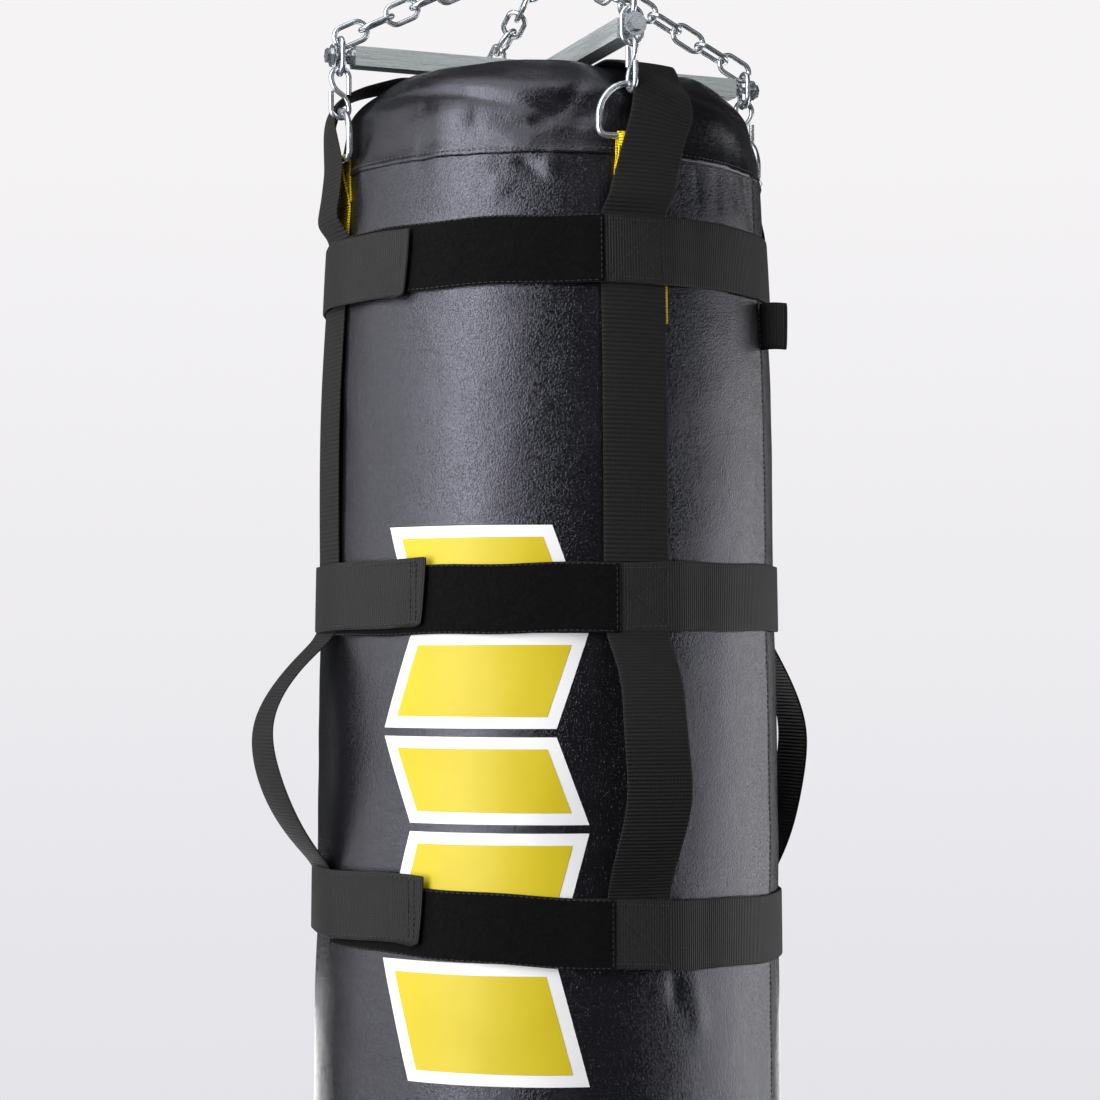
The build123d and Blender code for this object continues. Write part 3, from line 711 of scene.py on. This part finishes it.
def make_print():
    """White blocks with yellow ones on them, lying on the leather like ink."""
    for name, inset, lift, finish in (
        ("print_white", 0.0, 0.00035, WHITE_INK),
        ("print_yellow", PRINT_BORDER, 0.00060, YELLOW_INK),
    ):
        grids = [print_patch(block, inset, lift) for block in PRINT_BLOCKS]
        points = np.concatenate([grid.reshape(-1, 3) for grid in grids])
        faces = []
        for i, grid in enumerate(grids):
            faces += grid_faces(*grid.shape[:2], start=i * grid.shape[0] * grid.shape[1])
        ink = make_piece(name, points, faces, finish)
        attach(ink, "bag")


# ------------ harness
def crown_half(side, crown_z):
    """Half of a crown strap from under the middle ring strap to the axis: reach, height, shift."""
    rise, lean_start, lean_end, off = CROWN_ENDS[side]
    low, high = RINGS["middle"][1], RINGS["upper"][0]
    path = []
    for z in np.linspace(low - 0.023, RINGS["upper"][1], 40):
        share = np.clip((z - low) / (high - low), 0, 1)
        path.append((cover_radius(z) + STRAP_LIFT + off * math.sin(share * math.pi), z, 0.0))
    for radius, below in rise:
        share = np.clip((lean_start - below) / (lean_start - lean_end), 0, 1)
        path.append((radius, SPREADER_Z - below, share * CROWN_SHIFT))
    return path + [(reach, crown_z, CROWN_SHIFT) for reach in np.linspace(CROWN_RADIUS, 0.0, 20)]


def make_crown_strap(name, turn, crown_z, sides, slant, nodes):
    """One long strap: up one side of the bag, over the cap beside the axis, and down the other."""
    near, far = [crown_half(side, crown_z) for side in sides]
    path = smooth_path(near + [(-reach, z, shift) for reach, z, shift in far[::-1]], 0.0025, 8)
    reach, z, shift = path[:, 0][:, None], path[:, 1][:, None], path[:, 2][:, None]
    beside = shift + stations(WEBBING_WIDTH)[None, :]
    round_side = np.sqrt(np.maximum(reach ** 2 - beside ** 2, 0))
    flat_top = np.abs(reach) / CROWN_RADIUS * np.sqrt(CROWN_RADIUS ** 2 - beside ** 2)
    y = -np.sign(reach) * np.where(np.abs(reach) >= CROWN_RADIUS, round_side, flat_top)
    # the edge away from the axis bends over the shoulder earlier than the other edge
    bending = ease(np.abs(reach), 0.140, 0.160) * ease(z, SPREADER_Z - 0.085, SPREADER_Z - 0.040)
    z = z - slant * bending * (0.5 + (beside - shift) / WEBBING_WIDTH)
    grid = np.stack(np.broadcast_arrays(beside, y, z), axis=-1)
    wave = 0.0007 * ripple(grid, 0.045, 11 + turn / 10) * ease(z, SEAM_Z - 0.03, SEAM_Z + 0.02)
    grid = turned(grid + normals_of(grid) * wave[..., None], turn)
    strap = make_sheets(name, [grid], WEBBING_THICK, STRAP_WEBBING)
    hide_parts(*nodes)
    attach(strap, "bag")


def ring_tilt(name, azimuth):
    """Height that a ring strap's slant adds at an azimuth; none at the front."""
    around = np.sin(np.radians(azimuth - LEVEL_AZIMUTH)) - math.sin(math.radians(-LEVEL_AZIMUTH))
    return RING_TILT[name] * around


def ring_lift(azimuth):
    """Height of a ring strap's middle over the cover: it rides up over the upright straps."""
    from_strap = np.abs((azimuth + 45) % 90 - 45)
    return RING_LIFT - (RING_LIFT - RING_LIFT_BETWEEN) * ease(from_strap, 9.5, 19.0)


def on_ring(name, azimuth, across, extra):
    """Points on a ring strap: how far over its middle line, and how far out from its webbing."""
    low, high = RINGS[name]
    z = (low + high) / 2 + across + ring_tilt(name, azimuth)
    edge_wave = 0.0005 * np.sin(azimuth * 0.21 + low * 40)
    return round_point(azimuth, cover_radius(z) + ring_lift(azimuth) + extra, z + edge_wave)


def band_grid(name, azimuths, extra, rise=0.0, width=WEBBING_WIDTH, count=9):
    """Middle points of a piece that lies along a ring strap, extra higher than the strap."""
    return on_ring(name, azimuths[:, None], stations(width, count)[None, :] + rise, extra)


def make_ring_band(name):
    """A ring strap's own webbing, from under its loop pad round to the root of its flap."""
    azimuths = np.arange(RING_START, RING_END, 1.5)
    towards_flap = FLAP_RISE[name][0] * ease(azimuths, 205.0, 252.0)[:, None]
    grid = band_grid(name, azimuths, 0.0, towards_flap)
    ring = make_sheets(f"ring_webbing_{name}", [grid], WEBBING_THICK, RING_WEBBING)
    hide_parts(f"ring_strap_{name}")
    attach(ring, "bag")


def make_pad(name):
    """A ring strap's loop pad, with an uneven pile but even edges."""
    azimuths = np.arange(PAD_START, PAD_ENDS[name] + 0.01, 0.4)
    grid = band_grid(name, azimuths, PAD_OVER_RING, width=WEBBING_WIDTH - 0.001, count=40)
    middles = sum(RINGS[name]) / 2 + ring_tilt(name, azimuths)[:, None]
    height = (grid[..., 2] - middles) / (WEBBING_WIDTH / 2)
    fuzz = 0.00042 * ripple(grid, 0.0016, 21) + 0.0003 * ripple(grid, 0.006, 22)
    fuzz *= 1 - ease(np.abs(height), 0.88, 0.95)
    grid = grid + normals_of(grid) * fuzz[..., None]
    pad = make_sheets(f"loop_pile_{name}", [grid], PAD_THICK, LOOP_PILE)
    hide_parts(f"loop_pad_{name}")
    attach(pad, "bag")


def flap_rise(name, azimuth):
    """How far a flap sits above its ring strap at an azimuth."""
    root_rise, end_rise = FLAP_RISE[name]
    return root_rise + (end_rise - root_rise) * ease(azimuth, FLAP_LEVEL, FLAP_ENDS[name])


def flap_curl(name, azimuth):
    """How far a flap stands off near its free end."""
    return FLAP_CURL * ease(azimuth, FLAP_ENDS[name] - 4.0, FLAP_ENDS[name] + 1)


def cut_askew(name, azimuths, grid):
    """A flap's points turned about Z, so that its free end is slanted and has soft corners."""
    across = np.linspace(-1, 1, grid.shape[1])[None, :]
    slanted = 0.9 * across + 0.6 * (1 - across ** 2)
    corners = 1.6 * ease(-across, 0.70, 1.0) + 0.5 * ease(across, 0.85, 1.0)
    near_end = ease(azimuths, FLAP_ENDS[name] - 9, FLAP_ENDS[name])
    turn = np.radians(near_end * (slanted - corners))[..., None]
    x, y, z = grid[..., :1], grid[..., 1:2], grid[..., 2:]
    return np.concatenate([
        x * np.cos(turn) - y * np.sin(turn),
        x * np.sin(turn) + y * np.cos(turn),
        z,
    ], axis=-1)


def make_flap(name):
    """The free end of a ring strap: it climbs over the strap and the pad, and its end stands off a
    little.
    """
    azimuths = np.arange(FLAP_START, FLAP_ENDS[name] + 0.01, 0.6)[:, None]
    climb = ease(azimuths, FLAP_START + 4, -83.0)
    extra = FLAP_OVER_RING * climb + flap_curl(name, azimuths)
    grid = band_grid(name, azimuths[:, 0], extra, flap_rise(name, azimuths))
    grid = cut_askew(name, azimuths, grid)
    lift = 0.0006 * ripple(grid, 0.02, 31) * ease(azimuths, -78.0, -60.0)
    grid = grid + normals_of(grid) * lift[..., None]
    flap = make_sheets(f"strap_flap_{name}", [grid], WEBBING_THICK, RING_WEBBING)
    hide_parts(f"flap_{name}")
    middle = sum(RINGS[name]) / 2
    fold = [round_point(a, cover_radius(middle), middle) for a in FLAP_FOLD]
    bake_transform(flap)


def make_hook_tape(name):
    """The hook tape on a flap's inner side."""
    azimuths = np.arange(-78.0, FLAP_ENDS[name] - 1.2, 0.8)
    rise = np.interp(azimuths, (FLAP_LEVEL, FLAP_ENDS[name]), FLAP_RISE[name])[:, None]
    grid = band_grid(name, azimuths, TAPE_OVER_RING, rise, WEBBING_WIDTH - 0.006)
    tape = make_sheets(f"hook_side_{name}", [grid], TAPE_THICK, HOOK_TAPE)
    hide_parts(f"hook_tape_{name}")
    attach(tape, f"{name}_flap")


def make_handle(side):
    """A slack webbing loop, sewn under the middle and the lower ring strap."""
    lower_shift = ring_tilt("lower", SIDES[side])
    upper_end = RINGS["middle"][1] - 0.0235
    top = RINGS["middle"][0] - 0.002
    bottom = RINGS["lower"][1] + 0.002 + lower_shift
    lower_end = RINGS["lower"][1] - 0.040 + lower_shift
    middle = (top + bottom) / 2
    half = (top - bottom) / 2
    bulge = HANDLE_BULGES[side] - WEBBING_THICK
    control = [(cover_radius(z) + STRAP_LIFT, z) for z in np.linspace(upper_end, top + 0.003, 8)]
    for share in np.linspace(0.03, 0.97, 40):
        height = top + (bottom - top) * share
        past = share - HANDLE_PEAK
        reach = past / (1 - HANDLE_PEAK) if past > 0 else -past / HANDLE_PEAK
        stand_off = bulge * (1 - reach ** HANDLE_ROUNDNESS)
        control.append((cover_radius(height) + STRAP_LIFT + stand_off, height))
    heights = np.linspace(bottom - 0.003, lower_end, 8)
    control += [(cover_radius(z) + STRAP_LIFT, z) for z in heights]
    path = smooth_path(control, 0.0028, 10)
    radius, z = path[:, 0][:, None], path[:, 1][:, None]
    share = np.clip((middle - z) / half, -1, 1)
    free = np.clip(1 - share ** 2, 0, 1)
    swing = np.radians(HANDLE_TWISTS[side]) * np.sin(share * math.pi * 0.5 + 0.6) * free
    beside = stations(HANDLE_WIDTH)[None, :]
    # free webbing is nearly flat, and cups slightly; where it is sewn down it follows the bag
    hollow = (radius - np.sqrt(radius ** 2 - beside ** 2)) * (1 - free)
    cup = 0.0012 * free * np.cos(beside / HANDLE_WIDTH * math.pi)
    x = beside * np.cos(swing) + 0.0022 * free * np.sin(share * 5.2)
    y = -(radius - hollow + cup) - beside * np.sin(swing)
    grid = np.stack(np.broadcast_arrays(x, y, z), axis=-1)
    grid = turned(grid, SIDES[side])
    handle = make_sheets(f"webbing_handle_{side}", [grid], WEBBING_THICK, HANDLE_WEBBING)
    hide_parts(f"handle_{side}")
    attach(handle, "bag")


def make_yellow_straps():
    """Suspension straps: each goes up the cover, over its D-ring's bar and back down behind."""
    bar_z = z_range("dee_rings")[0] + DEE_WIRE / 2
    wrap = DEE_WIRE / 2 + 0.0010
    tail_z = SPREADER_Z - 0.216
    joint_z = SPREADER_Z - 0.118
    control = [(cover_radius(z) + YELLOW_LIFT, z) for z in np.linspace(tail_z, joint_z, 12)]
    control += [(BAR_RADIUS + wrap, bar_z - 0.002)]
    control += [
        (BAR_RADIUS + wrap * math.cos(t), bar_z + wrap * math.sin(t))
        for t in np.radians(np.linspace(0, 180, 9))
    ]
    control += [(BAR_RADIUS - wrap, bar_z - 0.002)]
    control += [(cover_radius(joint_z) + 0.0001, joint_z + 0.004)]
    path = smooth_path(control, 0.0012, 3)
    radius, z = path[:, 0][:, None], path[:, 1][:, None]
    on_bar = ease(z, joint_z, bar_z)
    width = 0.040 - 0.011 * on_bar
    beside = stations(1.0, 17)[None, :] * width
    crumple = 0.0006 * np.sin(beside * 900 + z * 130) * ease(z, joint_z - 0.01, bar_z)
    hollow = (radius - np.sqrt(radius ** 2 - beside ** 2)) * (1 - on_bar)
    grids = []
    for side, turn in SIDES.items():
        moved = beside + YELLOW_SHIFTS[side] * (1 - 0.5 * on_bar)
        grid = np.stack(np.broadcast_arrays(moved, -(radius - hollow + crumple), z), axis=-1)
        grids.append(turned(grid, turn))
    straps = make_sheets("suspension_webbing", grids, 0.0012, YELLOW_WEBBING)
    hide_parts("yellow_straps")
    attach(straps, "bag")


def make_side_tab():
    """A folded piece of webbing that stands out of the upright seam."""
    low, high = z_range("side_tab")
    reach = 0.0195
    gap = 0.0010
    heights = np.linspace(low, high, 15)
    root = cover_radius(low) - 0.001
    out = [(gap, d) for d in np.linspace(0, reach, 12)]
    turn = [(gap * math.cos(t), reach + gap * math.sin(t)) for t in np.linspace(0.5, 2.64, 5)]
    back = [(-gap, d) for d in np.linspace(reach, 0, 12)]
    path = np.array(out + turn + back)
    beside, away = path[:, 0][:, None], path[:, 1][:, None]
    z = heights[None, :] + 0.0008 * np.sin(away * 160)
    bend = 0.0016 * (away / reach) ** 2 * np.sin((heights[None, :] - low) * 60)
    grid = np.stack(np.broadcast_arrays(beside + bend, -(root + away), z), axis=-1)
    grid = turned(grid, SEAM_AZIMUTH)
    tab = make_sheets("seam_tab", [grid], 0.0013, RING_WEBBING)
    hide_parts("side_tab")
    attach(tab, "bag")


# ------------ stitching
STITCH_LENGTH = 0.0030
STITCH_PITCH = 0.0042
STITCH_HALF = 0.00034
STITCH_OUT = HALF_THICK + 0.0001    # thread lies this far over the middle of its webbing


def stitch_line(points):
    """Thread dashes along a line of points, as (start, end) pairs."""
    path = smooth_path(points, 0.0005, 0)
    per_stitch = STITCH_PITCH / 0.0005
    starts = np.arange(2, len(path) - STITCH_LENGTH / 0.0005 - 1, per_stitch).astype(int)
    return [(path[i], path[i + int(STITCH_LENGTH / 0.0005)]) for i in starts]


def make_stitching(name, dashes, finish=THREAD):
    """One object of many short pieces of thread, each pressed into the cloth at its ends."""
    points, faces = [], []
    for start, end in dashes:
        along = end - start
        out = np.array([start[0], start[1], 0.0])
        out /= np.linalg.norm(out) + 1e-9
        side = np.cross(along, out)
        side *= STITCH_HALF / (np.linalg.norm(side) + 1e-12)
        base = len(points)
        for share, size in ((0.0, 0.35), (0.25, 1.0), (0.75, 1.0), (1.0, 0.35)):
            centre = start + along * share
            rise = out * STITCH_HALF * size
            points += [centre + rise, centre + side * size, centre - rise, centre - side * size]
        faces += grid_faces(4, 4, wrap=True, start=base)
        faces.append([base + 3, base + 2, base + 1, base])
        faces.append([base + 12, base + 13, base + 14, base + 15])
    return make_piece(name, np.array(points), faces, finish)


def sewn(name, lines, extra, on_flap=False):
    """Dashes along lines on a ring strap or its flap. A line's ends are (azimuth, share of the
    half width) pairs."""
    dashes = []
    along = np.linspace(0, 1, 30)
    for (a0, s0), (a1, s1) in lines:
        azimuth = a0 + (a1 - a0) * along
        across = (s0 + (s1 - s0) * along) * WEBBING_WIDTH / 2
        spots = on_ring(name, azimuth, across, extra + on_flap * flap_curl(name, azimuth))
        spots[:, 2] += on_flap * flap_rise(name, azimuth)
        dashes += stitch_line(spots)
    return dashes


def box_stitches(name, left, right, margin, extra, cross=False):
    """Dashes round a rectangle on a ring strap, with its diagonals if wanted."""
    corners = [(left, -margin), (right, -margin), (right, margin), (left, margin), (left, -margin)]
    lines = list(zip(corners, corners[1:]))
    if cross:
        lines += [(corners[0], corners[2]), (corners[1], corners[3])]
    return sewn(name, lines, extra)


def make_leather_seams():
    """The seam round the cap and the upright seam of the cover."""
    around = np.arange(0, 360, 1.0)
    radius = skin_radius(around, SEAM_Z - 0.0001) + 0.0014
    seam = round_point(around, radius, SEAM_Z + 0.0012)
    levels = np.arange(BAG_BOTTOM_Z + 0.012, SEAM_Z - 0.006, 0.006)
    azimuth = SEAM_AZIMUTH - 1.6
    upright = round_point(azimuth, skin_radius(azimuth, levels) + 0.0002, levels)
    dashes = stitch_line(seam) + stitch_line(upright)
    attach(make_stitching("leather_seam_thread", dashes, SEAM_THREAD), "bag")


def make_harness_seams():
    """Crossed boxes where straps meet, and the edges of the loop pads."""
    dashes = []
    for name in RINGS:
        for middle in (0.0, 90.0, 180.0):
            dashes += box_stitches(name, middle - 7.4, middle + 7.4, 0.84, STITCH_OUT, cross=True)
        pad = PAD_OVER_RING + 0.0009
        dashes += box_stitches(name, PAD_START + 1, PAD_ENDS[name] - 0.6, 0.95, pad)
    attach(make_stitching("harness_thread", dashes), "bag")


def make_flap_seams(name):
    """A flap's edges, with a second row at its free end."""
    root, end = -80.0, FLAP_ENDS[name] - 1.8
    corners = [(root, 0.88), (end, 0.88), (end, -0.88), (root, -0.88)]
    lines = list(zip(corners, corners[1:]))
    lines.append(((end - 1.6, 0.88), (end - 1.6, -0.88)))
    dashes = sewn(name, lines, FLAP_OVER_RING + STITCH_OUT, on_flap=True)
    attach(make_stitching(f"flap_thread_{name}", dashes), f"{name}_flap")


# ------------ metal of the frame
def paint_frame():
    """New materials on the frame's own metal nodes."""
    finishes = {
        "spreader_long_tube": TUBE_X,
        "spreader_half_tubes": TUBE_Y,
        "tube_end_plugs": PLUG_STEEL,
        "swivel_upper_eye": SATIN_ZINC,
        "swivel_barrel": SATIN_ZINC,
        "swivel_stem": SATIN_ZINC,
        "stem_nut": BEARING_STEEL,
        "bearing_lower_race": BEARING_STEEL,
        "bearing_upper_race": BEARING_STEEL,
        "bearing_balls": BEARING_STEEL,
    }
    for name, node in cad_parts.items():
        finish = finishes.get(name, ZINC)
        if not node.material_slots:
            node.data.materials.append(finish)
        for place in node.material_slots:
            place.material = finish


paint_frame()
make_cover()
make_cap()
make_bottom()
make_print()
crown_low = CAP_TOP_Z + 0.0002 + HALF_THICK
make_crown_strap("harness_front_back", 0.0, crown_low, ("front", "back"), CROWN_SLANT,
                 ("harness_strap_front", "crown_strap_front_back", "harness_strap_back"))
crown_high = crown_low + WEBBING_THICK + 0.0002
make_crown_strap("harness_left_right", 90.0, crown_high, ("right", "left"), 0.0,
                 ("harness_strap_right", "crown_strap_left_right", "harness_strap_left"))
for ring_name in RINGS:
    make_ring_band(ring_name)
    make_pad(ring_name)
    make_flap(ring_name)
    make_hook_tape(ring_name)
for side_name in SIDES:
    make_handle(side_name)
make_yellow_straps()
make_side_tab()
make_leather_seams()
make_harness_seams()
for ring_name in RINGS:
    make_flap_seams(ring_name)


# ------------ floor, lights and camera
CAMERA_AZIMUTH = -21.0
CAMERA_DISTANCE = 2.037
CAMERA_BELOW_SPREADER = 0.459
CAMERA_PITCH = 2.4
CAMERA_LENS = 85.7
AXIS_LEFT_OF_MIDDLE = 0.0016

FLOOR_DROP = 0.32
FLOOR_RADIUS = 3.2
LOW_SHADE = (0.765, 0.755, 0.800, 1)     # of the surroundings, below and above eye level
HIGH_SHADE = (0.915, 0.900, 0.910, 1)


def make_floor():
    """A round pale floor under the bag."""
    radii = np.linspace(0, FLOOR_RADIUS, 24)
    azimuths = np.arange(0, 360, 5.0)
    points = round_point(azimuths[None, :], radii[:, None], BAG_BOTTOM_Z - FLOOR_DROP)
    finish = Finish("pale_floor", 0.9, specular=0.0)
    patch = finish.noise(finish.place(), 2.0, 3.0)
    finish.set("Base Color", finish.blend(patch, (0.034, 0.034, 0.036), (0.028, 0.028, 0.030)))
    finish.set("Emission Color", (0.75, 0.74, 0.785, 1.0))
    finish.set("Emission Strength", 1.0)
    mesh = bpy.data.meshes.new("floor")
    mesh.from_pydata(points.reshape(-1, 3).tolist(), [], grid_faces(24, len(azimuths), wrap=True))
    mesh.materials.append(finish.material)
    floor = bpy.data.objects.new("floor", mesh)
    floor.visible_glossy = False
    floor.visible_diffuse = False
    bpy.context.collection.objects.link(floor)


def aim(thing, target):
    """Point a light or camera at a place."""
    direction = Vector(target) - thing.location
    thing.rotation_euler = direction.to_track_quat("-Z", "Y").to_euler()


def make_light(name, azimuth, distance, z, width, height, power, target_z):
    """A soft panel at an azimuth, turned towards the bag's axis."""
    data = bpy.data.lights.new(name, "AREA")
    data.shape = "RECTANGLE"
    data.size = width
    data.size_y = height
    data.energy = power
    light = bpy.data.objects.new(name, data)
    light.location = round_point(azimuth, distance, z)
    light.visible_camera = False
    bpy.context.collection.objects.link(light)
    aim(light, (0.0, 0.0, target_z))


def make_world():
    """Pale surroundings: a bright gradient to the camera, and a dim even light to all else."""
    world = bpy.data.worlds.new("studio")
    world.use_nodes = True
    bpy.context.scene.world = world
    tree = world.node_tree
    direction = add_node(tree, "TexCoord", {}, "Generated")
    upward = add_node(tree, "SeparateXYZ", {0: direction}, "Z")
    share = add_node(tree, "MapRange", {"Value": upward, "From Min": -0.20, "From Max": 0.20})
    shade = add_node(tree, "ValToRGB", {0: share})
    for element, colour in zip(shade.node.color_ramp.elements, (LOW_SHADE, HIGH_SHADE)):
        element.color = colour
    shown = add_node(tree, "Background", {"Color": shade, "Strength": 1.0})
    lighting = add_node(tree, "Background", {"Color": (0.93, 0.96, 1.0, 1), "Strength": 0.055})
    to_camera = add_node(tree, "LightPath", {}, "Is Camera Ray")
    choice = add_node(tree, "MixShader", {0: to_camera, 1: lighting, 2: shown})
    tree.links.new(choice, tree.nodes["World Output"].inputs[0])


def make_camera():
    """The camera at the photograph's place: left of the front, and below the spreader."""
    data = bpy.data.cameras.new("camera")
    data.sensor_width = 36.0
    data.lens = CAMERA_LENS
    camera = bpy.data.objects.new("camera", data)
    height = SPREADER_Z - CAMERA_BELOW_SPREADER
    camera.location = round_point(CAMERA_AZIMUTH, CAMERA_DISTANCE, height)
    bpy.context.collection.objects.link(camera)
    target = round_point(CAMERA_AZIMUTH + 90, AXIS_LEFT_OF_MIDDLE,
                         height + CAMERA_DISTANCE * math.tan(math.radians(CAMERA_PITCH)))
    aim(camera, target)
    bpy.context.scene.camera = camera
    bpy.context.scene.view_settings.view_transform = "Standard"


make_floor()
make_world()
make_light("key_left", -62.0, 2.3, -0.10, 1.2, 3.1, 96.0, -0.55)
make_light("side_left", -108.0, 2.3, -0.55, 2.0, 2.8, 34.0, -0.65)
make_light("rim_right", 86.0, 2.2, -0.95, 2.4, 2.0, 33.0, -0.65)
make_light("strip_right", 57.0, 2.0, -1.25, 0.22, 0.9, 3.6, -0.95)
make_light("back_low", 165.0, 1.9, -1.75, 2.2, 1.2, 26.0, -0.6)
make_light("tube_front", 21.0, 2.4, 0.60, 1.3, 0.6, 2.6, -0.28)
make_light("top", -60.0, 1.1, 1.6, 2.2, 2.2, 34.0, -0.2)
make_camera()
